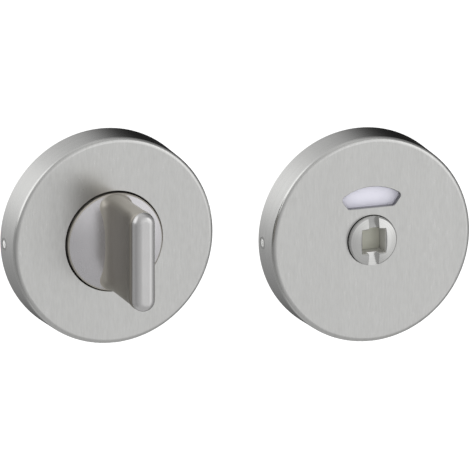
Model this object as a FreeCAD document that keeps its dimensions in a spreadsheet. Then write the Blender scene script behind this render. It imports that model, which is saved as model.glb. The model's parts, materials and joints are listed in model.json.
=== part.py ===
# Bathroom turn and release set: the thumb turn of the inside of the door and the release with its
# occupied window of the outside, laid out side by side.
# Millimetres. Each half is drawn on its own axis with the front towards local +Z and up towards local +Y,
# and is then turned so that the front faces -Y and up is +Z. The door face is the plane y = 0.
import FreeCAD
import Part
import Sketcher
import math
import os

# Driving dimensions.
SIZES = {
    # Layout of the two halves on the door face
    "release_across": 66.8,
    "release_drop": 6.1,
    # Fixing screws, and the room from their axes to the edge of the rose
    "fixing_spacing": 38.0,
    "fixing_margin": 7.0,
    "screw_hole": 4.3,
    "screw_head": 7.4,
    "screw_seat": 3.4,
    # Covers
    "rose_depth": 9.2,
    "rim_taper": 0.25,
    "rim_wall": 1.8,
    "face_wall": 1.5,
    "rim_round": 1.15,
    "edge_break": 0.1,
    "turn_opening": 25.1,
    "turn_gap": 0.36,
    "head_gap": 0.1,
    # Indicator window
    "window_radius": 13.4,
    "window_half_angle": 36.5,
    "window_sill": 8.1,
    "window_round": 1.0,
    # Mounting bases
    "cover_fit": 0.15,
    "works_depth": 2.7,
    "web_thickness": 2.4,
    "works_gap": 0.65,
    "clip_recess_diameter": 21.0,
    "lug_diameter": 8.0,
    "lug_length": 6.0,
    # Bearings
    "bush_wall": 1.4,
    "bush_flange": 2.0,
    "flange_thickness": 1.0,
    "seat_gap": 0.03,
    "running_gap": 0.05,
    "thrust_gap": 0.15,
    # Washers and circlips
    "washer_thickness": 0.5,
    "washer_width": 2.6,
    "washer_clearance": 0.15,
    "circlip_thickness": 0.9,
    "circlip_width": 2.0,
    "circlip_mouth": 5.0,
    "groove_depth": 0.5,
    # Thumb turn
    "turn_proud": 0.8,
    "dome_rise": 1.9,
    "disc_bevel": 0.3,
    "disc_bevel_rise": 0.25,
    "turn_neck_wall": 1.7,
    "neck_reach": 5.0,
    "socket_depth": 11.0,
    "grip_reach": 22.3,
    "cap_height": 2.3,
    "cap_land": 0.3,
    "root_margin": 0.1,
    "bar_overhang": 0.3,
    "bar_width": 5.8,
    "waist_width": 4.8,
    "root_width": 14.7,
    "root_sink": 0.1,
    "root_flare": 18.0,
    "bar_flare": 3.0,
    # Release
    "release_proud": 1.1,
    "head_rise": 1.1,
    "head_bevel": 0.3,
    "head_bevel_rise": 0.25,
    "head_shoulder": 0.35,
    "release_neck_wall": 0.9,
    "key_step": 0.6,
    "indicator_thickness": 1.0,
    "indicator_margin": 0.9,
    "slot_width": 2.7,
    "slot_depth": 2.65,
    "slot_cutter": 34.0,
    "lead_in": 0.6,
    # Spindle
    "spindle_size": 6.0,
    "spindle_play": 0.06,
    "spindle_setback": 4.9,
    "spindle_reach": 42.0,
    "spindle_chamfer": 0.4,
    "pin_diameter": 2.0,
    "pin_behind": 2.5,
    # Threaded sleeves
    "thread_hole": 3.3,
    "sleeve_diameter": 6.0,
    "sleeve_head_play": 0.1,
    "sleeve_head_height": 1.5,
    "sleeve_reach": 10.0,
    # Rim screws
    "grub_diameter": 3.0,
    "grub_back_room": 0.55,
    "grub_height": 2.5,
    "grub_recess": 0.1,
    "grub_hex": 1.5,
    "grub_hex_depth": 1.2,
    "grub_chamfer": 0.3,
}

# Levels and radii that follow from the driving dimensions.
DERIVED = {
    "fixing_offset": "fixing_spacing / 2",
    "rose_radius": "fixing_offset + fixing_margin",
    "rim_front_radius": "rose_radius - rim_taper",
    "cover_inner_radius": "rose_radius - rim_wall",
    "cover_inside": "rose_depth - face_wall",
    "turn_opening_radius": "turn_opening / 2",
    "window_top_x": "window_radius * sin(window_half_angle)",
    "window_top_y": "window_radius * cos(window_half_angle)",
    "window_sill_x": "window_sill * tan(window_half_angle)",
    # Bases and bearings
    "base_radius": "cover_inner_radius - cover_fit",
    "base_top": "cover_inside - cover_fit",
    "web_front": "cover_inside - works_depth",
    "web_back": "web_front - web_thickness",
    "indicator_radius": "window_radius + indicator_margin",
    "works_radius": "indicator_radius + works_gap",
    "clip_recess_radius": "clip_recess_diameter / 2",
    "lug_radius": "lug_diameter / 2",
    "lug_back": "-lug_length",
    "screw_hole_radius": "screw_hole / 2",
    "screw_head_radius": "screw_head / 2",
    "sleeve_radius": "sleeve_diameter / 2",
    "sleeve_hole_radius": "sleeve_radius + seat_gap",
    "flange_front": "web_front + flange_thickness",
    "socket_half": "(spindle_size + spindle_play) / 2",
    "socket_corner": "socket_half * sqrt(2)",
    "turn_neck_radius": "socket_corner + turn_neck_wall",
    "release_neck_radius": "socket_corner + release_neck_wall",
    "turn_bore": "turn_neck_radius + running_gap",
    "release_bore": "release_neck_radius + running_gap",
    "turn_barrel": "turn_bore + bush_wall",
    "release_barrel": "release_bore + bush_wall",
    "turn_flange": "turn_barrel + bush_flange",
    "release_flange": "release_barrel + bush_flange",
    "turn_seat": "turn_barrel + seat_gap",
    "release_seat": "release_barrel + seat_gap",
    # Washers and circlips
    "washer_front": "web_back - thrust_gap",
    "washer_back": "washer_front - washer_thickness",
    "groove_front": "washer_back",
    "clip_front": "groove_front - seat_gap",
    "clip_back": "clip_front - circlip_thickness",
    "groove_back": "clip_back - seat_gap",
    "turn_groove": "turn_neck_radius - groove_depth",
    "release_groove": "release_neck_radius - groove_depth",
    "turn_clip_inner": "turn_groove + seat_gap",
    "release_clip_inner": "release_groove + seat_gap",
    "turn_clip_outer": "turn_clip_inner + circlip_width",
    "release_clip_outer": "release_clip_inner + circlip_width",
    "turn_washer_inner": "turn_neck_radius + washer_clearance",
    "release_washer_inner": "release_neck_radius + washer_clearance",
    "turn_washer_outer": "turn_washer_inner + washer_width",
    "release_washer_outer": "release_washer_inner + washer_width",
    "mouth_half": "circlip_mouth / 2",
    # Thumb turn
    "disc_radius": "turn_opening_radius - turn_gap",
    "disc_back": "flange_front + thrust_gap",
    "disc_edge": "rose_depth + turn_proud",
    "dome_top": "disc_edge + dome_rise",
    "dome_radius": "disc_radius - disc_bevel",
    "dome_edge": "disc_edge + disc_bevel_rise",
    "neck_back": "-neck_reach",
    "grip_front": "rose_depth + grip_reach",
    "bar_level": "grip_front - cap_height",
    "cap_round": "cap_height - cap_land",
    "root_level": "disc_edge - root_sink",
    "blade_rise": "bar_level - root_level",
    "root_length": "2 * (disc_radius - root_margin)",
    "bar_length": "root_length + 2 * bar_overhang",
    # Release
    "indicator_back": "flange_front + thrust_gap",
    "indicator_front": "indicator_back + indicator_thickness",
    "head_edge": "rose_depth + release_proud",
    "head_front": "head_edge + head_rise",
    "head_dome_edge": "head_edge + head_bevel_rise",
    "key_flat": "release_neck_radius + seat_gap",
    "key_radius": "key_flat + key_step",
    "head_radius": "key_radius + head_shoulder",
    "head_dome_radius": "head_radius - head_bevel",
    "release_opening_radius": "head_radius + head_gap",
    "key_bore": "key_radius + seat_gap",
    "key_bore_flat": "key_flat + seat_gap",
    "key_corner": "sqrt(key_bore ^ 2 - key_bore_flat ^ 2)",
    "slot_half": "slot_width / 2",
    "slot_floor": "head_front - slot_depth",
    "slot_radius": "slot_cutter / 2",
    "slot_centre": "slot_floor + slot_radius",
    "lead_low": "head_front - lead_in",
    "lead_high": "head_front + lead_in",
    "lead_half": "socket_half + 2 * lead_in",
    # Spindle
    "spindle_half": "spindle_size / 2",
    "spindle_back": "-spindle_reach",
    "spindle_length": "head_front - spindle_setback + spindle_reach",
    "pin_radius": "pin_diameter / 2",
    "pin_hole_radius": "pin_radius + seat_gap",
    "pin_level": "-pin_behind",
    "pin_length": "2 * release_groove",
    # Sleeves
    "thread_hole_radius": "thread_hole / 2",
    "sleeve_head_radius": "screw_head_radius - sleeve_head_play",
    "sleeve_head_top": "screw_seat + sleeve_head_height",
    "sleeve_back": "-sleeve_reach",
    # Rim screws
    "grub_length": "fixing_margin - screw_head_radius - grub_recess - grub_back_room",
    "grub_radius": "grub_diameter / 2",
    "grub_hole_radius": "grub_radius + seat_gap",
    "grub_tip_chamfered": "grub_radius - grub_chamfer",
    "grub_tip": "-grub_length",
    "grub_tip_shoulder": "grub_chamfer - grub_length",
    "grub_face": "rose_radius - grub_recess",
    "grub_seat": "-(grub_face - grub_length - seat_gap)",
    "grub_corner": "grub_hex / sqrt(3)",
    "grub_corner_half": "grub_corner / 2",
    "grub_flat": "grub_hex / 2",
    "turn_grub_x": "-grub_face",
    "release_grub_x": "release_across - grub_face",
    "grub_y": "-grub_height",
    "release_z": "-release_drop",
    "release_left_sleeve": "release_across - fixing_offset",
    "release_right_sleeve": "release_across + fixing_offset",
}

# The blade's cross sections, closer together towards the root, where the flanks sweep out into the disc.
BLADE_SECTIONS = 10
SECTION_CROWDING = 1.6
# Levels and radii that differ by less than this are the same when an edge is looked up.
TOUCH = 1e-4


def blade_formulas():
    """Level, length and width of each cross section: a slim waist between a flared root and the bar."""
    cells = {}
    for i in range(BLADE_SECTIONS):
        along = (i / (BLADE_SECTIONS - 1)) ** SECTION_CROWDING
        back = 1 - along
        cells["section_level_%d" % i] = "root_level + blade_rise * %.6f" % along
        cells["section_length_%d" % i] = "root_length + (bar_length - root_length) * %.6f" % along
        root = "(root_width - waist_width) * %.6f ^ root_flare" % back
        bar = "(bar_width - waist_width) * %.6f ^ bar_flare" % along
        cells["section_width_%d" % i] = "waist_width + %s + %s" % (root, bar)
    return cells


doc = FreeCAD.newDocument("TurnAndRelease")
sheet = doc.addObject("Spreadsheet::Sheet", "Sizes")


def fill_sheet():
    cells = [(name, str(value)) for name, value in SIZES.items()]
    for formulas in (DERIVED, blade_formulas()):
        cells += [(name, "=" + text) for name, text in formulas.items()]
    for row, (name, content) in enumerate(cells, 1):
        sheet.set("A%d" % row, name)
        sheet.set("B%d" % row, content)
        sheet.setAlias("B%d" % row, name)
    doc.recompute()


def size(name):
    """The value of a cell; a leading minus takes its opposite and 0 is the axis itself."""
    if name == "0":
        return 0.0
    if name.startswith("-"):
        return -float(sheet.get(name[1:]))
    return float(sheet.get(name))


def formula(name):
    if name.startswith("-"):
        return "-Sizes." + name[1:]
    return "Sizes." + name


def bind(item, field, name):
    item.setExpression(field, formula(name))


def new_body(label):
    body = doc.addObject("PartDesign::Body", label)
    body.Label = label
    return body


def new_sketch(body, name, plane, level=None):
    sketch = body.newObject("Sketcher::SketchObject", name)
    origin_plane = [item for item in body.Origin.OriginFeatures if item.Role == plane][0]
    sketch.AttachmentSupport = [(origin_plane, "")]
    sketch.MapMode = "FlatFace"
    if level:
        bind(sketch, "AttachmentOffset.Base.z", level)
    return sketch


def hold(sketch, kind, edge, end, name):
    """Hold one end of an edge at the named distance, across or up, from the sketch's origin."""
    index = sketch.addConstraint(Sketcher.Constraint(kind, -1, 1, edge, end, size(name)))
    bind(sketch, "Constraints[%d]" % index, name)


def pin_point(sketch, edge, end, x, y):
    """Hold one end of an edge at the named distances from the sketch's axes."""
    for kind, name, axis in (("DistanceX", x, -2), ("DistanceY", y, -1)):
        if name == "0":
            sketch.addConstraint(Sketcher.Constraint("PointOnObject", edge, end, axis))
        else:
            hold(sketch, kind, edge, end, name)


def arc_about(centre_y, start, end):
    """The arc that runs anticlockwise from start to end about a centre on the sketch's Y axis."""
    centre = FreeCAD.Vector(0, centre_y, 0)
    up = FreeCAD.Vector(0, 0, 1)
    across = FreeCAD.Vector(1, 0, 0)
    circle = Part.Circle(centre, up, start.distanceToPoint(centre))
    angles = []
    for point in (start, end):
        arm = point - centre
        turn = arm.getAngle(across)
        angles.append(turn if arm.y >= 0 else -turn)
    return Part.ArcOfCircle(circle, angles[0], angles[1])


def outline(sketch, corners):
    """A closed outline. Each corner is two names and the kind of edge that leaves it: a line unless it
    says dome, an arc centred on the Y axis that ends on that axis, or rim, an arc about the origin."""
    points = [FreeCAD.Vector(size(corner[0]), size(corner[1]), 0) for corner in corners]
    kinds = [corner[2] if len(corner) > 2 else "line" for corner in corners]
    count = len(corners)
    first = sketch.GeometryCount
    for i, kind in enumerate(kinds):
        start = points[i]
        end = points[(i + 1) % count]
        if kind == "dome":
            rise = end.y - start.y
            radius = (start.x ** 2 + rise ** 2) / (2 * rise)
            sketch.addGeometry(arc_about(end.y - radius, start, end))
        elif kind == "rim":
            sketch.addGeometry(arc_about(0.0, start, end))
        else:
            sketch.addGeometry(Part.LineSegment(start, end))
    for i, kind in enumerate(kinds):
        edge = first + i
        following = first + (i + 1) % count
        sketch.addConstraint(Sketcher.Constraint("Coincident", edge, 2, following, 1))
        if kind == "dome":
            sketch.addConstraint(Sketcher.Constraint("PointOnObject", edge, 3, -2))
        if kind == "rim":
            sketch.addConstraint(Sketcher.Constraint("Coincident", edge, 3, -1, 1))
        # The far end of a rim arc is on its circle already, so one distance holds it.
        if kinds[i - 1] == "rim":
            hold(sketch, "DistanceX", edge, 1, corners[i][0])
        else:
            pin_point(sketch, edge, 1, corners[i][0], corners[i][1])
    return sketch


def circle(sketch, x, y, radius):
    centre = FreeCAD.Vector(size(x), size(y), 0)
    edge = sketch.addGeometry(Part.Circle(centre, FreeCAD.Vector(0, 0, 1), size(radius)))
    pin_point(sketch, edge, 3, x, y)
    index = sketch.addConstraint(Sketcher.Constraint("Radius", edge, size(radius)))
    bind(sketch, "Constraints[%d]" % index, radius)
    return sketch


def revolve(body, name, corners):
    """Turn an outline of radii and levels about the half's own axis."""
    sketch = outline(new_sketch(body, name + "_profile", "XZ_Plane"), corners)
    feature = body.newObject("PartDesign::Revolution", name)
    feature.Profile = sketch
    feature.ReferenceAxis = (sketch, ["V_Axis"])
    feature.Angle = 360.0
    return feature


def pad(body, name, sketch, length, backwards=False):
    feature = body.newObject("PartDesign::Pad", name)
    feature.Profile = sketch
    bind(feature, "Length", length)
    feature.Reversed = backwards
    return feature


def pocket(body, name, sketch, length=None, forwards=False):
    """Cut from the sketch against its normal, or along it; with no length, through everything."""
    doc.recompute()
    before = body.Shape.Volume
    feature = body.newObject("PartDesign::Pocket", name)
    feature.Profile = sketch
    feature.Reversed = forwards
    if length:
        bind(feature, "Length", length)
    else:
        feature.Type = "ThroughAll"
    doc.recompute()
    if body.Shape.Volume >= before:
        raise RuntimeError(name + " cuts nothing")
    return feature


def dress(body, kind, name, field, amount, chosen):
    """Fillet or chamfer the edges of the body so far that pass the test."""
    doc.recompute()
    base = body.Tip
    edges = ["Edge%d" % (i + 1) for i, edge in enumerate(base.Shape.Edges) if chosen(edge)]
    if not edges:
        raise RuntimeError(name + " finds no edge")
    feature = body.newObject("PartDesign::" + kind, name)
    feature.Base = (base, edges)
    bind(feature, field, amount)
    doc.recompute()
    return feature


def ring_edge(radius, level):
    """A test for the full round edge of this radius about the axis at this level."""
    def chosen(edge):
        if edge.Degenerated or not isinstance(edge.Curve, Part.Circle):
            return False
        curve = edge.Curve
        return abs(curve.Radius - size(radius)) < TOUCH and abs(curve.Center.z - size(level)) < TOUCH
    return chosen


def place(body, x=None, z=None):
    """Turn a half's piece so that its front faces -Y, and move it to its axis on the door face."""
    upright = FreeCAD.Rotation(FreeCAD.Vector(1, 0, 0), 90)
    body.Placement = FreeCAD.Placement(FreeCAD.Vector(0, 0, 0), upright)
    if x:
        bind(body, "Placement.Base.x", x)
    if z:
        bind(body, "Placement.Base.z", z)


def place_release(body):
    place(body, "release_across", "release_z")


def make_cover(label, opening):
    """A drawn steel cover: tapered rim, rounded front edge, round opening and a hole for the rim screw."""
    body = new_body(label)
    revolve(body, label + "_shell", [
        (opening, "cover_inside"),
        (opening, "rose_depth"),
        ("rim_front_radius", "rose_depth"),
        ("rose_radius", "0"),
        ("cover_inner_radius", "0"),
        ("cover_inner_radius", "cover_inside"),
    ])
    dress(body, "Fillet", label + "_rim_round", "Radius", "rim_round",
          ring_edge("rim_front_radius", "rose_depth"))
    dress(body, "Chamfer", label + "_opening_edge", "Size", "edge_break", ring_edge(opening, "rose_depth"))
    hole = circle(new_sketch(body, label + "_rim_hole_circle", "YZ_Plane"), "0", "grub_height",
                  "grub_hole_radius")
    pocket(body, label + "_rim_hole", hole, "rose_radius")
    return body


def cut_window(body):
    """The arc window above the release: radial ends and a straight sill, with rounded corners."""
    sketch = new_sketch(body, "window_outline", "XY_Plane", "rose_depth")
    outline(sketch, [
        ("-window_sill_x", "window_sill"),
        ("window_sill_x", "window_sill"),
        ("window_top_x", "window_top_y", "rim"),
        ("-window_top_x", "window_top_y"),
    ])
    pocket(body, "window", sketch, "face_wall")

    def window_corner(edge):
        low, high = edge.BoundBox.ZMin, edge.BoundBox.ZMax
        upright = abs(low - size("cover_inside")) < TOUCH and abs(high - size("rose_depth")) < TOUCH
        middle = edge.CenterOfMass
        return upright and edge.BoundBox.XLength < TOUCH and middle.y > size("window_sill") / 2

    dress(body, "Fillet", "window_corners", "Radius", "window_round", window_corner)

    def window_edge(edge):
        low, high = edge.BoundBox.ZMin, edge.BoundBox.ZMax
        level = abs(low - size("rose_depth")) < TOUCH and abs(high - size("rose_depth")) < TOUCH
        return level and edge.BoundBox.YMin > size("window_sill") / 2

    dress(body, "Chamfer", "window_edge", "Size", "edge_break", window_edge)


def make_base(label, seat):
    """A moulded mounting base: a bearing web between two recesses, and two lugs into the door."""
    body = new_body(label)
    revolve(body, label + "_disc", [
        (seat, "web_back"),
        (seat, "web_front"),
        ("works_radius", "web_front"),
        ("works_radius", "base_top"),
        ("base_radius", "base_top"),
        ("base_radius", "0"),
        ("clip_recess_radius", "0"),
        ("clip_recess_radius", "web_back"),
    ])
    lugs = new_sketch(body, label + "_lug_circles", "XY_Plane")
    circle(lugs, "fixing_offset", "0", "lug_radius")
    circle(lugs, "-fixing_offset", "0", "lug_radius")
    pad(body, label + "_lugs", lugs, "lug_length", backwards=True)
    return body


def bore_base(body, hole, head):
    """Fixing holes through the lugs, seats for their heads, and a notch for the rim screw's tip."""
    label = body.Label
    heads = new_sketch(body, label + "_head_circles", "XY_Plane", "screw_seat")
    holes = new_sketch(body, label + "_hole_circles", "XY_Plane", "lug_back")
    for x in ("fixing_offset", "-fixing_offset"):
        circle(heads, x, "0", head)
        circle(holes, x, "0", hole)
    pocket(body, label + "_heads", heads, "base_top", forwards=True)
    pocket(body, label + "_holes", holes, forwards=True)
    notch = circle(new_sketch(body, label + "_notch_circle", "YZ_Plane", "grub_seat"), "0", "grub_height",
                   "grub_hole_radius")
    pocket(body, label + "_notch", notch, "rim_wall")


def make_bush(label, bore, barrel, flange):
    body = new_body(label)
    revolve(body, label + "_turning", [
        (bore, "web_back"),
        (bore, "flange_front"),
        (flange, "flange_front"),
        (flange, "web_front"),
        (barrel, "web_front"),
        (barrel, "web_back"),
    ])
    return body


def make_washer(label, inner, outer):
    body = new_body(label)
    sketch = new_sketch(body, label + "_circles", "XY_Plane", "washer_back")
    circle(sketch, "0", "0", inner)
    circle(sketch, "0", "0", outer)
    pad(body, label + "_plate", sketch, "washer_thickness")
    return body


def make_circlip(label, inner, outer):
    """A snap ring with an open mouth at the bottom."""
    body = new_body(label)
    sketch = new_sketch(body, label + "_circles", "XY_Plane", "clip_back")
    circle(sketch, "0", "0", inner)
    circle(sketch, "0", "0", outer)
    pad(body, label + "_ring", sketch, "circlip_thickness")
    mouth = outline(new_sketch(body, label + "_mouth_outline", "XY_Plane", "clip_back"), [
        ("-mouth_half", "-" + outer),
        ("mouth_half", "-" + outer),
        ("mouth_half", "0"),
        ("-mouth_half", "0"),
    ])
    pocket(body, label + "_mouth", mouth, "circlip_thickness", forwards=True)
    return body


def square(sketch, half):
    return outline(sketch, [("-" + half, "-" + half), (half, "-" + half), (half, half), ("-" + half, half)])


def stadium(body, name, level, length, width):
    """One cross section of the grip: upright, with full round ends."""
    sketch = new_sketch(body, name, "XY_Plane", level)
    half = size(width) / 2
    reach = size(length) / 2 - half
    up = FreeCAD.Vector(0, 0, 1)
    top = Part.Circle(FreeCAD.Vector(0, reach, 0), up, half)
    bottom = Part.Circle(FreeCAD.Vector(0, -reach, 0), up, half)
    right_low = FreeCAD.Vector(half, -reach, 0)
    right_high = FreeCAD.Vector(half, reach, 0)
    left_high = FreeCAD.Vector(-half, reach, 0)
    left_low = FreeCAD.Vector(-half, -reach, 0)
    right = sketch.addGeometry(Part.LineSegment(right_low, right_high))
    upper = sketch.addGeometry(Part.ArcOfCircle(top, 0, math.pi))
    left = sketch.addGeometry(Part.LineSegment(left_high, left_low))
    lower = sketch.addGeometry(Part.ArcOfCircle(bottom, math.pi, 2 * math.pi))
    for edge, following in ((right, upper), (upper, left), (left, lower), (lower, right)):
        sketch.addConstraint(Sketcher.Constraint("Tangent", edge, 2, following, 1))
    for arc in (upper, lower):
        sketch.addConstraint(Sketcher.Constraint("PointOnObject", arc, 3, -2))
    sketch.addConstraint(Sketcher.Constraint("Equal", upper, lower))
    index = sketch.addConstraint(Sketcher.Constraint("Radius", upper, half))
    sketch.setExpression("Constraints[%d]" % index, "Sizes.%s / 2" % width)
    index = sketch.addConstraint(Sketcher.Constraint("DistanceY", -1, 1, upper, 3, reach))
    sketch.setExpression("Constraints[%d]" % index, "(Sizes.%s - Sizes.%s) / 2" % (length, width))
    index = sketch.addConstraint(Sketcher.Constraint("DistanceY", lower, 3, -1, 1, reach))
    sketch.setExpression("Constraints[%d]" % index, "(Sizes.%s - Sizes.%s) / 2" % (length, width))
    return sketch


def make_thumb_turn():
    """The turn: a domed disc on a hollow neck, with a waisted blade that ends in a rounded bar."""
    body = new_body("thumb_turn")
    revolve(body, "turn_disc", [
        ("0", "neck_back"),
        ("turn_neck_radius", "neck_back"),
        ("turn_neck_radius", "groove_back"),
        ("turn_groove", "groove_back"),
        ("turn_groove", "groove_front"),
        ("turn_neck_radius", "groove_front"),
        ("turn_neck_radius", "disc_back"),
        ("disc_radius", "disc_back"),
        ("disc_radius", "disc_edge"),
        ("dome_radius", "dome_edge", "dome"),
        ("0", "dome_top"),
    ])
    sections = []
    for i in range(BLADE_SECTIONS):
        names = ["section_%s_%d" % (measure, i) for measure in ("level", "length", "width")]
        sections.append(stadium(body, "section_%d" % i, *names))
    blade = body.newObject("PartDesign::AdditiveLoft", "blade")
    blade.Profile = sections[0]
    blade.Sections = sections[1:]
    doc.recompute()
    cap = stadium(body, "cap_section", "bar_level", "bar_length", "bar_width")
    pad(body, "cap", cap, "cap_height")

    def front_edge(edge):
        low, high = edge.BoundBox.ZMin, edge.BoundBox.ZMax
        return abs(low - size("grip_front")) < TOUCH and abs(high - size("grip_front")) < TOUCH

    dress(body, "Fillet", "cap_edges", "Radius", "cap_round", front_edge)
    socket = square(new_sketch(body, "socket_outline", "XY_Plane", "neck_back"), "socket_half")
    pocket(body, "socket", socket, "socket_depth", forwards=True)
    return body


def make_release_head():
    """The release: a domed head with a square hole and a coin slot, on a keyed neck."""
    body = new_body("release_head")
    revolve(body, "head_turning", [
        ("0", "neck_back"),
        ("release_neck_radius", "neck_back"),
        ("release_neck_radius", "groove_back"),
        ("release_groove", "groove_back"),
        ("release_groove", "groove_front"),
        ("release_neck_radius", "groove_front"),
        ("release_neck_radius", "indicator_back"),
        ("key_radius", "indicator_back"),
        ("key_radius", "indicator_front"),
        ("head_radius", "indicator_front"),
        ("head_radius", "head_edge"),
        ("head_dome_radius", "head_dome_edge", "dome"),
        ("0", "head_front"),
    ])
    hole = square(new_sketch(body, "hole_outline", "XY_Plane", "neck_back"), "socket_half")
    pocket(body, "hole", hole, forwards=True)
    narrow = square(new_sketch(body, "lead_in_narrow", "XY_Plane", "lead_low"), "socket_half")
    wide = square(new_sketch(body, "lead_in_wide", "XY_Plane", "lead_high"), "lead_half")
    lead_in = body.newObject("PartDesign::SubtractiveLoft", "lead_in")
    lead_in.Profile = narrow
    lead_in.Sections = [wide]
    flats = new_sketch(body, "key_flats_outline", "XY_Plane", "indicator_back")
    for side in ("", "-"):
        outline(flats, [
            (side + "key_flat", "-key_radius"),
            (side + "head_radius", "-key_radius"),
            (side + "head_radius", "key_radius"),
            (side + "key_flat", "key_radius"),
        ])
    pocket(body, "key_flats", flats, "indicator_thickness", forwards=True)
    slot = circle(new_sketch(body, "slot_circle", "YZ_Plane", "-slot_half"), "0", "slot_centre", "slot_radius")
    pocket(body, "slot", slot, "slot_width", forwards=True)
    pin_hole = circle(new_sketch(body, "pin_hole_circle", "YZ_Plane", "-release_neck_radius"), "0",
                      "pin_level", "pin_hole_radius")
    pocket(body, "pin_hole", pin_hole, forwards=True)
    return body


def make_indicator():
    """The disc behind the window, keyed to the release by two flats."""
    body = new_body("indicator_disc")
    sketch = new_sketch(body, "indicator_outline", "XY_Plane", "indicator_back")
    circle(sketch, "0", "0", "indicator_radius")
    outline(sketch, [
        ("key_bore_flat", "-key_corner"),
        ("key_bore_flat", "key_corner", "rim"),
        ("-key_bore_flat", "key_corner"),
        ("-key_bore_flat", "-key_corner", "rim"),
    ])
    pad(body, "indicator_plate", sketch, "indicator_thickness")
    return body


def make_spindle():
    body = new_body("spindle")
    sketch = square(new_sketch(body, "spindle_outline", "XY_Plane", "spindle_back"), "spindle_half")
    pad(body, "spindle_bar", sketch, "spindle_length")

    def back_edge(edge):
        return abs(edge.BoundBox.ZMax - size("spindle_back")) < TOUCH

    dress(body, "Chamfer", "spindle_point", "Size", "spindle_chamfer", back_edge)
    pin_hole = circle(new_sketch(body, "spindle_hole_circle", "YZ_Plane", "-spindle_half"), "0", "pin_level",
                      "pin_hole_radius")
    pocket(body, "spindle_hole", pin_hole, forwards=True)
    return body


def make_spindle_pin():
    body = new_body("spindle_pin")
    sketch = circle(new_sketch(body, "pin_circle", "YZ_Plane", "-release_groove"), "0", "pin_level",
                    "pin_radius")
    pad(body, "pin_rod", sketch, "pin_length")
    return body


def make_sleeve(label, x):
    body = new_body(label)
    revolve(body, label + "_turning", [
        ("thread_hole_radius", "sleeve_back"),
        ("sleeve_radius", "sleeve_back"),
        ("sleeve_radius", "screw_seat"),
        ("sleeve_head_radius", "screw_seat"),
        ("sleeve_head_radius", "sleeve_head_top"),
        ("thread_hole_radius", "sleeve_head_top"),
    ])
    place(body, x, "release_z")
    return body


def make_grub_screw(label, x, z=None):
    """A socket set screw in the rim at nine o'clock, its socket outwards."""
    body = new_body(label)
    revolve(body, label + "_turning", [
        ("0", "grub_tip"),
        ("grub_tip_chamfered", "grub_tip"),
        ("grub_radius", "grub_tip_shoulder"),
        ("grub_radius", "0"),
        ("0", "0"),
    ])
    hexagon = outline(new_sketch(body, label + "_hexagon", "XY_Plane"), [
        ("grub_corner", "0"),
        ("grub_corner_half", "grub_flat"),
        ("-grub_corner_half", "grub_flat"),
        ("-grub_corner", "0"),
        ("-grub_corner_half", "-grub_flat"),
        ("grub_corner_half", "-grub_flat"),
    ])
    pocket(body, label + "_socket", hexagon, "grub_hex_depth")
    outwards = FreeCAD.Rotation(FreeCAD.Vector(0, 1, 0), -90)
    body.Placement = FreeCAD.Placement(FreeCAD.Vector(0, 0, 0), outwards)
    bind(body, "Placement.Base.x", x)
    bind(body, "Placement.Base.y", "grub_y")
    if z:
        bind(body, "Placement.Base.z", z)
    return body


def make_turn_half():
    cover = make_cover("turn_cover", "turn_opening_radius")
    base = make_base("turn_base", "turn_seat")
    bore_base(base, "screw_hole_radius", "screw_head_radius")
    pieces = [
        cover,
        base,
        make_bush("turn_bush", "turn_bore", "turn_barrel", "turn_flange"),
        make_thumb_turn(),
        make_washer("turn_washer", "turn_washer_inner", "turn_washer_outer"),
        make_circlip("turn_circlip", "turn_clip_inner", "turn_clip_outer"),
    ]
    for piece in pieces:
        place(piece)
    return pieces + [make_grub_screw("turn_grub_screw", "turn_grub_x")]


def make_release_half():
    cover = make_cover("release_cover", "release_opening_radius")
    cut_window(cover)
    base = make_base("release_base", "release_seat")
    bore_base(base, "sleeve_hole_radius", "screw_head_radius")
    pieces = [
        cover,
        base,
        make_bush("release_bush", "release_bore", "release_barrel", "release_flange"),
        make_release_head(),
        make_indicator(),
        make_washer("release_washer", "release_washer_inner", "release_washer_outer"),
        make_circlip("release_circlip", "release_clip_inner", "release_clip_outer"),
        make_spindle(),
        make_spindle_pin(),
    ]
    for piece in pieces:
        place_release(piece)
    pieces += [
        make_sleeve("sleeve_left", "release_left_sleeve"),
        make_sleeve("sleeve_right", "release_right_sleeve"),
        make_grub_screw("release_grub_screw", "release_grub_x", "release_z"),
    ]
    return pieces


def check(pieces):
    doc.recompute()
    for item in doc.Objects:
        if "Invalid" in item.State or "Error" in item.State:
            raise RuntimeError("%s failed: %s" % (item.Name, item.State))
    for piece in pieces:
        if piece.Shape.isNull() or not piece.Shape.isValid() or not piece.Shape.Solids:
            raise RuntimeError(piece.Label + " is not a valid solid")


fill_sheet()
all_pieces = make_turn_half() + make_release_half()
check(all_pieces)
os.makedirs("parts", exist_ok=True)
for item in all_pieces:
    item.Shape.exportStep("parts/%s.step" % item.Label)
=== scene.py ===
import json
import math

import bpy
from mathutils import Matrix, Vector


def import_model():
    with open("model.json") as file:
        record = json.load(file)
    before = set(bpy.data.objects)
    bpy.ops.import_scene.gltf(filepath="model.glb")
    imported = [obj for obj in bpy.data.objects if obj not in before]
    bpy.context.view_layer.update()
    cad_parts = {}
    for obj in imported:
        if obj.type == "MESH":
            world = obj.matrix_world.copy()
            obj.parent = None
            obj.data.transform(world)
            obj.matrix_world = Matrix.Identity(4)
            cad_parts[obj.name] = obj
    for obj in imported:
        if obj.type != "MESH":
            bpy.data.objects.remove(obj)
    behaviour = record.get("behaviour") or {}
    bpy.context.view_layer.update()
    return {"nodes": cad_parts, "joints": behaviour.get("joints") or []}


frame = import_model()
nodes = frame["nodes"]
scene = bpy.context.scene

MM = 0.001

# The two halves' axes, where they meet the door face.
joints = {joint["name"]: joint for joint in frame["joints"]}
TURN = Vector(joints["turn_spin"]["pos_m"])
RELEASE = Vector(joints["release_spin"]["pos_m"])

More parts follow.
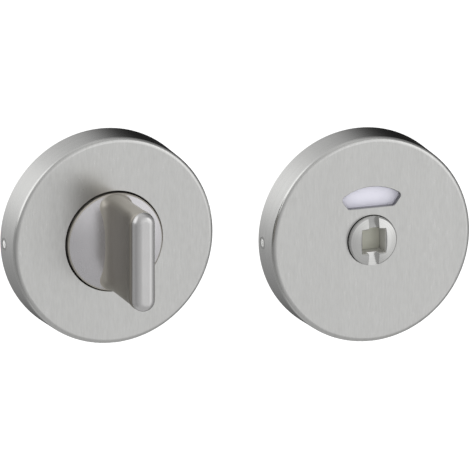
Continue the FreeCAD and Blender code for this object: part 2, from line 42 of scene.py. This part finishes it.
# The thumb turn's levels in front of the door face, and how softly the bar's finish starts.
DISC_FRONT = -9.5 * MM
BAR_BACK = -29.5 * MM
BAR_BLEND = 0.3 * MM
# No wall of an opening in a cover lies further than this from its half's axis.
OPENINGS_REACH = 15.0 * MM
# Takes in the walls of the release's square hole.
HOLE_REACH = 3.1 * MM
# The indicator's red fields start outside the release head and end at its diagonals.
FIELDS_START = 7.3 * MM
FIELDS_BLEND = 0.1 * MM
DIAGONAL_BLEND = 0.06 * MM
# Takes in the hexagon socket of a rim screw, out to its corners; a painted highlight fills it.
SOCKET_GLINT_RADIUS = 0.9 * MM

# Marks to the metre of each finish: across, into the door and up.
UPRIGHT_BRUSHING = (2800.0, 400.0, 420.0)
ROUND_BRUSHING = (60.0, 6500.0, 60.0)
BROAD_BANDS = (500.0, 60.0, 12.0)
GRIP_SATIN = (5200.0, 2600.0, 160.0)
DRAWN_LINES = (2400.0, 160.0, 2400.0)
STAMPED_MARKS = (1500.0, 1500.0, 300.0)
SCREW_MARKS = (400.0, 3000.0, 3000.0)
# Turned rings to the metre: outwards and along the axis.
RINGS_OUT = 4200.0
RINGS_ALONG = 2600.0


def rgb(r, g, b):
    return (r, g, b, 1.0)


BLACK = rgb(0.0, 0.0, 0.0)
WHITE = rgb(1.0, 1.0, 1.0)


class Graph:
    """A material's node tree, with short calls for the nodes that the materials share."""

    def __init__(self, name):
        self.material = bpy.data.materials.new(name)
        self.material.use_nodes = True
        self.tree = self.material.node_tree
        self.shader = self.tree.nodes["Principled BSDF"]

    def node(self, kind, **settings):
        made = self.tree.nodes.new(kind)
        for key, value in settings.items():
            setattr(made, key, value)
        return made

    def join(self, source, target):
        self.tree.links.new(source, target)

    def feed(self, socket, value):
        """A plain value is set on the socket; an output is linked to it."""
        if isinstance(value, bpy.types.NodeSocket):
            self.join(value, socket)
        else:
            socket.default_value = value

    def set(self, **values):
        """Set or link the shader's own sockets, named with _ for each space."""
        for name, value in values.items():
            self.feed(self.shader.inputs[name.replace("_", " ")], value)

    def object_point(self):
        return self.node("ShaderNodeTexCoord").outputs["Object"]

    def object_normal(self):
        return self.node("ShaderNodeTexCoord").outputs["Normal"]

    def split(self, vector):
        made = self.node("ShaderNodeSeparateXYZ")
        self.join(vector, made.inputs[0])
        return made.outputs

    def combine(self, x, y, z):
        made = self.node("ShaderNodeCombineXYZ")
        for socket, value in zip(made.inputs, (x, y, z)):
            self.feed(socket, value)
        return made.outputs[0]

    def scaled(self, vector, scale):
        made = self.node("ShaderNodeMapping")
        self.join(vector, made.inputs["Vector"])
        made.inputs["Scale"].default_value = scale
        return made.outputs[0]

    def math(self, operation, *values):
        made = self.node("ShaderNodeMath", operation=operation)
        for socket, value in zip(made.inputs, values):
            self.feed(socket, value)
        return made.outputs[0]

    def offset(self, value, middle):
        """How far a value is from a middle, to either side."""
        return self.math("ABSOLUTE", self.math("SUBTRACT", value, middle))

    def shares(self, one, share, two):
        """Two values added, in shares that make a whole."""
        return self.math("ADD", self.math("MULTIPLY", one, share), self.math("MULTIPLY", two, 1.0 - share))

    def length(self, one, two):
        """The length of the diagonal of two sides."""
        squares = self.math("ADD", self.math("MULTIPLY", one, one), self.math("MULTIPLY", two, two))
        return self.math("SQRT", squares)

    def radius(self, x, z, axis):
        """The distance of a point from an axis into the door."""
        return self.length(self.math("SUBTRACT", x, axis.x), self.math("SUBTRACT", z, axis.z))

    def noise(self, vector, scale=1.0, detail=2.0, roughness=0.5):
        made = self.node("ShaderNodeTexNoise")
        self.join(vector, made.inputs["Vector"])
        made.inputs["Scale"].default_value = scale
        made.inputs["Detail"].default_value = detail
        made.inputs["Roughness"].default_value = roughness
        return made.outputs["Fac"]

    def span(self, value, low, high, start=0.0, end=1.0):
        """Bring a value from start..end to low..high, without going past either."""
        made = self.node("ShaderNodeMapRange")
        self.feed(made.inputs["Value"], value)
        made.inputs["From Min"].default_value = start
        made.inputs["From Max"].default_value = end
        self.feed(made.inputs["To Min"], low)
        self.feed(made.inputs["To Max"], high)
        return made.outputs[0]

    def step(self, value, start, end):
        """0 up to start, 1 from end on, and a slope between them."""
        return self.span(value, 0.0, 1.0, start, end)

    def contrast(self, value):
        """Noise keeps to the middle of 0..1; this spreads it over the whole."""
        return self.step(value, 0.3, 0.7)

    def blend(self, factor, one, two):
        """A colour between one and two."""
        made = self.node("ShaderNodeMix", data_type="RGBA")
        self.feed(made.inputs["Factor"], factor)
        self.feed(made.inputs[6], one)
        self.feed(made.inputs[7], two)
        return made.outputs[2]

    def bump(self, height, strength, distance):
        made = self.node("ShaderNodeBump")
        made.inputs["Strength"].default_value = strength
        made.inputs["Distance"].default_value = distance
        self.join(height, made.inputs["Height"])
        self.join(made.outputs[0], self.shader.inputs["Normal"])


def brushed_cover():
    """Upright brushing on the faces, brushing round the rims, and painted shade on the walls of the
    openings.
    """
    g = Graph("brushed_cover_steel")
    point = g.object_point()
    x, _, z = g.split(point)
    facing = g.math("GREATER_THAN", g.math("ABSOLUTE", g.split(g.object_normal())[1]), 0.7)
    edging = g.math("SUBTRACT", 1.0, facing)
    inward = g.math("MINIMUM", g.radius(x, z, TURN), g.radius(x, z, RELEASE))
    opening_walls = g.math("MULTIPLY", edging, g.math("LESS_THAN", inward, OPENINGS_REACH))
    face_lines = g.noise(g.scaled(point, UPRIGHT_BRUSHING), detail=4.0, roughness=0.65)
    rim_lines = g.noise(g.scaled(point, ROUND_BRUSHING), detail=3.0, roughness=0.6)
    broad = g.noise(g.scaled(point, BROAD_BANDS), detail=2.0)
    lines = g.math("ADD", g.math("MULTIPLY", face_lines, facing), g.math("MULTIPLY", rim_lines, edging))
    shade = g.shares(lines, 0.85, broad)
    brushed = g.blend(g.contrast(shade), rgb(0.545, 0.545, 0.535), rgb(0.61, 0.61, 0.60))
    # Painted shade: the walls of the openings in the covers are painted dark, as shade inside the gaps.
    painted_wall_shade = g.blend(shade, rgb(0.16, 0.16, 0.165), rgb(0.24, 0.24, 0.245))
    dull = g.span(facing, 0.24, 0.32)
    keen = g.span(facing, 0.18, 0.27)
    g.set(
        Base_Color=g.blend(opening_walls, brushed, painted_wall_shade),
        Metallic=1.0,
        Roughness=g.span(g.contrast(shade), dull, keen),
        Anisotropic=0.5,
        Tangent=g.combine(facing, edging, 0.0),
    )
    g.bump(lines, strength=0.025, distance=0.02 * MM)
    return g.material


def turned_steel():
    """Blasted flanks with painted shade that darkens them towards the bar, a cooler satin disc, a bar that
    fingers rub bright.
    """
    g = Graph("satin_turn_steel")
    point = g.object_point()
    depth = g.split(point)[1]
    across, facing, _ = [g.math("ABSOLUTE", part) for part in g.split(g.object_normal())]
    lines = g.noise(g.scaled(point, GRIP_SATIN), detail=3.0, roughness=0.6)
    cloud = g.noise(point, scale=160.0, detail=2.0)
    shade = g.contrast(g.shares(lines, 0.5, cloud))
    root = g.blend(shade, rgb(0.49, 0.465, 0.415), rgb(0.54, 0.51, 0.46))
    painted_flank_shade = g.blend(shade, rgb(0.215, 0.20, 0.175), rgb(0.25, 0.235, 0.21))
    disc = g.blend(shade, rgb(0.50, 0.49, 0.505), rgb(0.54, 0.53, 0.545))
    bar = g.blend(shade, rgb(0.54, 0.535, 0.535), rgb(0.58, 0.575, 0.575))
    # Painted shade: the sides of the flanks are painted darker from the disc towards the bar.
    shade_towards_bar = g.span(depth, 1.0, 0.0, BAR_BACK, DISC_FRONT)
    flank = g.blend(g.math("MULTIPLY", g.step(across, 0.6, 0.9), shade_towards_bar), root, painted_flank_shade)
    on_disc = g.step(facing, 0.85, 0.95)
    on_bar = g.span(depth, 1.0, 0.0, BAR_BACK - BAR_BLEND, BAR_BACK)
    smooth = g.math("MAXIMUM", on_disc, on_bar)
    g.set(
        Base_Color=g.blend(on_bar, g.blend(on_disc, flank, disc), bar),
        Metallic=0.9,
        Roughness=g.span(shade, g.span(smooth, 0.42, 0.28), g.span(smooth, 0.37, 0.24)),
    )
    g.bump(lines, strength=0.02, distance=0.02 * MM)
    return g.material


def release_steel():
    """Satin steel with fine turned rings about the release's axis, duller where the hole is broached."""
    g = Graph("satin_release_steel")
    point = g.object_point()
    x, y, z = g.split(point)
    outwards = g.math("MULTIPLY", g.radius(x, z, RELEASE), RINGS_OUT)
    rings = g.noise(g.combine(outwards, g.math("MULTIPLY", y, RINGS_ALONG), 0.0), detail=2.0)
    cloud = g.noise(point, scale=300.0, detail=3.0)
    shade = g.contrast(g.shares(rings, 0.6, cloud))
    satin = g.blend(shade, rgb(0.56, 0.56, 0.55), rgb(0.61, 0.61, 0.60))
    aside = g.math("MAXIMUM", g.offset(x, RELEASE.x), g.offset(z, RELEASE.z))
    broached = g.math("LESS_THAN", aside, HOLE_REACH)
    g.set(
        Base_Color=g.blend(broached, satin, rgb(0.56, 0.555, 0.53)),
        Metallic=g.span(broached, 1.0, 0.4),
        Roughness=g.span(shade, g.span(broached, 0.25, 0.50), g.span(broached, 0.20, 0.44)),
    )
    g.bump(rings, strength=0.02, distance=0.02 * MM)
    return g.material


def indicator_enamel():
    """White above and below, and a red field at each side that the window shows when the lock is turned."""
    g = Graph("indicator_enamel_fields")
    point = g.object_point()
    x, _, z = g.split(point)
    beside = g.math("SUBTRACT", g.offset(x, RELEASE.x), g.offset(z, RELEASE.z))
    side = g.step(beside, -DIAGONAL_BLEND, DIAGONAL_BLEND)
    band = g.step(g.radius(x, z, RELEASE), FIELDS_START, FIELDS_START + FIELDS_BLEND)
    grain = g.noise(point, scale=900.0, detail=3.0)
    white = g.blend(grain, rgb(0.86, 0.85, 0.96), rgb(0.90, 0.89, 0.99))
    red = g.blend(grain, rgb(0.50, 0.020, 0.018), rgb(0.60, 0.030, 0.024))
    g.set(
        Base_Color=g.blend(g.math("MULTIPLY", side, band), white, red),
        Roughness=g.span(grain, 0.30, 0.42),
    )
    g.bump(grain, strength=0.03, distance=0.03 * MM)
    return g.material


def moulded(name, dark, light, roughness, grain_scale):
    """Moulded plastic with a fine grain and a slightly uneven colour."""
    g = Graph(name)
    point = g.object_point()
    grain = g.noise(point, scale=grain_scale, detail=4.0, roughness=0.65)
    cloud = g.noise(point, scale=120.0, detail=2.0)
    g.set(
        Base_Color=g.blend(cloud, dark, light),
        Roughness=g.span(grain, roughness - 0.08, roughness + 0.08),
    )
    g.bump(grain, strength=0.12, distance=0.05 * MM)
    return g.material


def plain_steel(name, dark, light, roughness, stretch):
    """Bright or dark steel with marks drawn out along one axis and a little mottling."""
    g = Graph(name)
    point = g.object_point()
    marks = g.noise(g.scaled(point, stretch), detail=3.0, roughness=0.6)
    mottle = g.noise(point, scale=500.0, detail=3.0)
    shade = g.contrast(g.shares(marks, 0.5, mottle))
    g.set(
        Base_Color=g.blend(shade, dark, light),
        Metallic=1.0,
        Roughness=g.span(shade, roughness + 0.06, roughness - 0.06),
    )
    g.bump(marks, strength=0.06, distance=0.03 * MM)
    return g.material


def spindle_steel():
    """Drawn square bar, bright and lined along its sides and dull where it was sawn off."""
    g = Graph("drawn_spindle_steel")
    point = g.object_point()
    sawn = g.step(g.math("ABSOLUTE", g.split(g.object_normal())[1]), 0.8, 0.95)
    lines = g.noise(g.scaled(point, DRAWN_LINES), detail=3.0, roughness=0.6)
    mottle = g.noise(point, scale=500.0, detail=3.0)
    shade = g.contrast(g.shares(lines, 0.5, mottle))
    side = g.blend(shade, rgb(0.50, 0.49, 0.45), rgb(0.60, 0.59, 0.54))
    end = g.blend(shade, rgb(0.50, 0.50, 0.43), rgb(0.54, 0.54, 0.47))
    g.set(
        Base_Color=g.blend(sawn, side, end),
        Metallic=g.span(sawn, 1.0, 0.5),
        Roughness=g.span(shade, g.span(sawn, 0.40, 0.56), g.span(sawn, 0.28, 0.44)),
    )
    g.bump(lines, strength=0.06, distance=0.03 * MM)
    return g.material


def screw_steel(screws):
    """Plain screw ends, with a painted highlight: their sockets are filled with bright white."""
    g = Graph("rim_screw_steel")
    point = g.object_point()
    _, y, z = g.split(point)
    middles = [sum((Vector(corner) for corner in screw.bound_box), Vector()) / 8 for screw in screws]
    drop = g.math("MINIMUM", *[g.offset(z, middle.z) for middle in middles])
    aside = g.math("SUBTRACT", y, middles[0].y)
    socket = g.math("LESS_THAN", g.length(aside, drop), SOCKET_GLINT_RADIUS)
    marks = g.noise(g.scaled(point, SCREW_MARKS), detail=3.0)
    end = g.blend(marks, rgb(0.44, 0.44, 0.43), rgb(0.54, 0.54, 0.53))
    # Painted highlight: the socket is painted near white and not metallic, so it shows as a bright dot.
    bright = g.blend(marks, rgb(0.88, 0.88, 0.87), rgb(0.95, 0.95, 0.94))
    g.set(
        Base_Color=g.blend(socket, end, bright),
        Metallic=g.span(socket, 1.0, 0.0),
        Roughness=g.span(marks, 0.38, 0.30),
    )
    g.bump(marks, strength=0.04, distance=0.02 * MM)
    return g.material


def dress(names, material):
    """Give CAD nodes a material of their own; their meshes keep theirs."""
    for name in names:
        slot = nodes[name].material_slots[0]
        slot.link = "OBJECT"
        slot.material = material


RIM_SCREWS = ("turn_grub_screw", "release_grub_screw")
nylon = moulded("black_nylon", rgb(0.016, 0.016, 0.017), rgb(0.028, 0.028, 0.029), 0.55, 2600.0)
bearing = moulded("bearing_plastic", rgb(0.60, 0.58, 0.52), rgb(0.68, 0.66, 0.60), 0.42, 1800.0)
spring = plain_steel("dark_spring_steel", rgb(0.16, 0.16, 0.17), rgb(0.26, 0.26, 0.27), 0.36, STAMPED_MARKS)
zinc = plain_steel("zinc_plated_steel", rgb(0.50, 0.49, 0.45), rgb(0.60, 0.59, 0.54), 0.34, DRAWN_LINES)
dress(("turn_cover", "release_cover"), brushed_cover())
dress(("thumb_turn",), turned_steel())
dress(("release_head",), release_steel())
dress(("indicator_disc",), indicator_enamel())
dress(("turn_base", "release_base"), nylon)
dress(("turn_bush", "release_bush"), bearing)
dress(("turn_washer", "release_washer", "turn_circlip", "release_circlip"), spring)
dress(RIM_SCREWS, screw_steel([nodes[name] for name in RIM_SCREWS]))
dress(("spindle",), spindle_steel())
dress(("sleeve_left", "sleeve_right", "spindle_pin"), zinc)

# The photograph's camera: to the left, above and far away.
AZIMUTH = math.radians(-20.5)
ELEVATION = math.radians(15.3)
DISTANCE = 5.0
FRAME_WIDTH = 114.08 * MM
AIM_ACROSS = 32.51 * MM
AIM_UP = -0.80 * MM
SENSOR_WIDTH = 36.0


def photo_camera():
    level = math.cos(ELEVATION)
    back = Vector((math.sin(AZIMUTH) * level, -math.cos(AZIMUTH) * level, math.sin(ELEVATION)))
    right = Vector((math.cos(AZIMUTH), math.sin(AZIMUTH), 0.0))
    up = back.cross(right)
    aim = right * AIM_ACROSS + up * AIM_UP
    lens = bpy.data.cameras.new("photo_camera")
    lens.sensor_width = SENSOR_WIDTH
    lens.lens = SENSOR_WIDTH * DISTANCE / FRAME_WIDTH
    lens.clip_end = 100.0
    camera = bpy.data.objects.new("photo_camera", lens)
    scene.collection.objects.link(camera)
    turned = Matrix((right, up, back)).transposed().to_4x4()
    camera.matrix_world = Matrix.Translation(aim + back * DISTANCE) @ turned
    scene.camera = camera


# What the steel reflects: a direction (across, into the door, up) and how bright the studio is there.
STUDIO = (
    # Behind, round the rims from eight o'clock to one o'clock
    ((-0.05, 0.90, -0.43), 0.38),
    ((-0.26, 0.90, -0.34), 0.40),
    ((-0.39, 0.90, -0.17), 0.60),
    ((-0.43, 0.90, 0.05), 0.95),
    ((-0.34, 0.90, 0.26), 1.25),
    ((-0.17, 0.90, 0.39), 0.85),
    ((0.05, 0.90, 0.43), 0.59),
    ((0.11, 0.90, 0.42), 0.74),
    ((0.31, 0.90, 0.29), 0.0),
    ((0.39, 0.90, 0.17), 0.0),
    ((0.43, 0.90, -0.05), 0.0),
    ((0.50, 0.85, 0.10), 0.0),
    ((0.60, 0.78, 0.15), 0.0),
    ((0.65, 0.70, 0.24), 0.0),
    # Behind, past the grip's flank where it flares into the bar
    ((0.02, 0.96, -0.26), 0.14),
    ((0.17, 0.95, -0.26), 0.06),
    ((0.30, 0.92, -0.27), 0.06),
    # In front: the covers' faces, the disc, the bar and the release head
    ((0.34, -0.90, -0.26), 1.07),
    ((0.16, -0.95, -0.26), 0.68),
    ((0.34, -0.94, 0.05), 1.35),
    ((0.34, -0.76, -0.56), 0.60),
    ((0.75, -0.62, 0.15), 1.5),
    ((0.68, -0.62, 0.40), 2.2),
    ((0.04, -0.98, 0.23), 1.0),
    ((-0.04, -0.96, -0.26), 0.68),
    ((-0.24, -0.92, -0.26), 0.56),
    ((-0.25, -0.77, 0.58), 0.75),
    ((-0.50, -0.82, 0.25), 0.55),
    ((0.34, -0.84, 0.42), 0.9),
    ((0.57, -0.77, 0.28), 1.1),
    # To the left, past the grip's flank and the bar
    ((-0.61, -0.74, -0.26), 0.52),
    ((-0.83, -0.50, -0.26), 0.38),
    ((-0.96, -0.07, -0.26), 0.34),
    ((-0.79, 0.55, -0.26), 0.36),
    ((-0.60, -0.40, 0.67), 0.60),
    ((-0.74, -0.57, 0.36), 0.50),
    ((-0.93, 0.25, -0.26), 0.50),
    # To the left, a bright panel that shows in the rims' rounded edges at ten o'clock
    ((-0.89, 0.08, 0.45), 1.6),
    ((-0.64, 0.70, 0.30), 1.2),
    # Above and below
    ((0.34, -0.24, 0.88), 0.65),
    ((0.0, 0.0, 1.0), 0.75),
    ((0.0, 0.0, -1.0), 0.6),
    # To the right
    ((0.63, -0.73, -0.26), 1.35),
    ((0.84, -0.47, -0.26), 0.60),
    ((0.96, 0.10, -0.26), 0.35),
    ((0.95, -0.10, 0.30), 0.35),
    ((0.81, -0.22, 0.55), 0.28),
    ((0.60, -0.32, 0.73), 0.30),
    ((0.60, 0.30, 0.73), 0.25),
)
# How sharply one direction's brightness gives way to the next one's.
STUDIO_FOCUS = 36.0
STUDIO_RADIUS = 3.0
STUDIO_RINGS = 48
STUDIO_SPOKES = 96
FLOOR_LEVEL = -120.0 * MM
FLOOR_REACH = 8.0


def studio_brightness(direction):
    total = 0.0
    weights = 0.0
    for towards, bright in STUDIO:
        weight = math.exp(STUDIO_FOCUS * (direction.dot(Vector(towards).normalized()) - 1.0))
        total += weight * bright
        weights += weight
    return total / weights


def on_stage(name, mesh, material):
    """An object that isn't part of the lock."""
    mesh.materials.append(material)
    made = bpy.data.objects.new(name, mesh)
    scene.collection.objects.link(made)
    return made


def studio():
    """A wide shell round the set that only reflections see, lighter and darker as a studio's walls are."""
    directions = []
    for i in range(STUDIO_RINGS + 1):
        polar = math.pi * i / STUDIO_RINGS
        level = math.sin(polar)
        for j in range(STUDIO_SPOKES):
            turn = 2.0 * math.pi * j / STUDIO_SPOKES
            directions.append(Vector((level * math.cos(turn), level * math.sin(turn), math.cos(polar))))
    faces = []
    for upper in range(0, STUDIO_RINGS * STUDIO_SPOKES, STUDIO_SPOKES):
        lower = upper + STUDIO_SPOKES
        for j in range(STUDIO_SPOKES):
            k = (j + 1) % STUDIO_SPOKES
            faces.append((upper + j, upper + k, lower + k, lower + j))
    mesh = bpy.data.meshes.new("studio_shell")
    mesh.from_pydata([direction * STUDIO_RADIUS for direction in directions], [], faces)
    light = mesh.attributes.new("brightness", "FLOAT", "POINT")
    light.data.foreach_set("value", [studio_brightness(direction) for direction in directions])
    g = Graph("studio_glow")
    bright = g.node("ShaderNodeAttribute", attribute_name="brightness").outputs["Fac"]
    g.set(Base_Color=BLACK, Specular_IOR_Level=0.0, Emission_Color=WHITE, Emission_Strength=bright)
    shell = on_stage("studio_shell", mesh, g.material)
    shell.visible_camera = False
    shell.visible_diffuse = False
    shell.visible_shadow = False


def floor():
    """A plain white floor well below the two halves."""
    corners = [(-1, -1), (1, -1), (1, 1), (-1, 1)]
    points = [(x * FLOOR_REACH, y * FLOOR_REACH, FLOOR_LEVEL) for x, y in corners]
    mesh = bpy.data.meshes.new("floor")
    mesh.from_pydata(points, [], [(0, 1, 2, 3)])
    g = Graph("white_floor")
    g.set(
        Base_Color=rgb(0.9, 0.9, 0.9),
        Roughness=1.0,
        Specular_IOR_Level=0.0,
        Emission_Color=WHITE,
        Emission_Strength=0.25,
    )
    on_stage("floor", mesh, g.material).visible_glossy = False


def world():
    """Even white light from all round."""
    made = bpy.data.worlds.new("studio")
    made.use_nodes = True
    shade = made.node_tree.nodes["Background"]
    shade.inputs["Color"].default_value = WHITE
    shade.inputs["Strength"].default_value = 1.0
    scene.world = made


photo_camera()
floor()
world()
studio()
scene.view_settings.view_transform = "Standard"
scene.view_settings.look = "None"
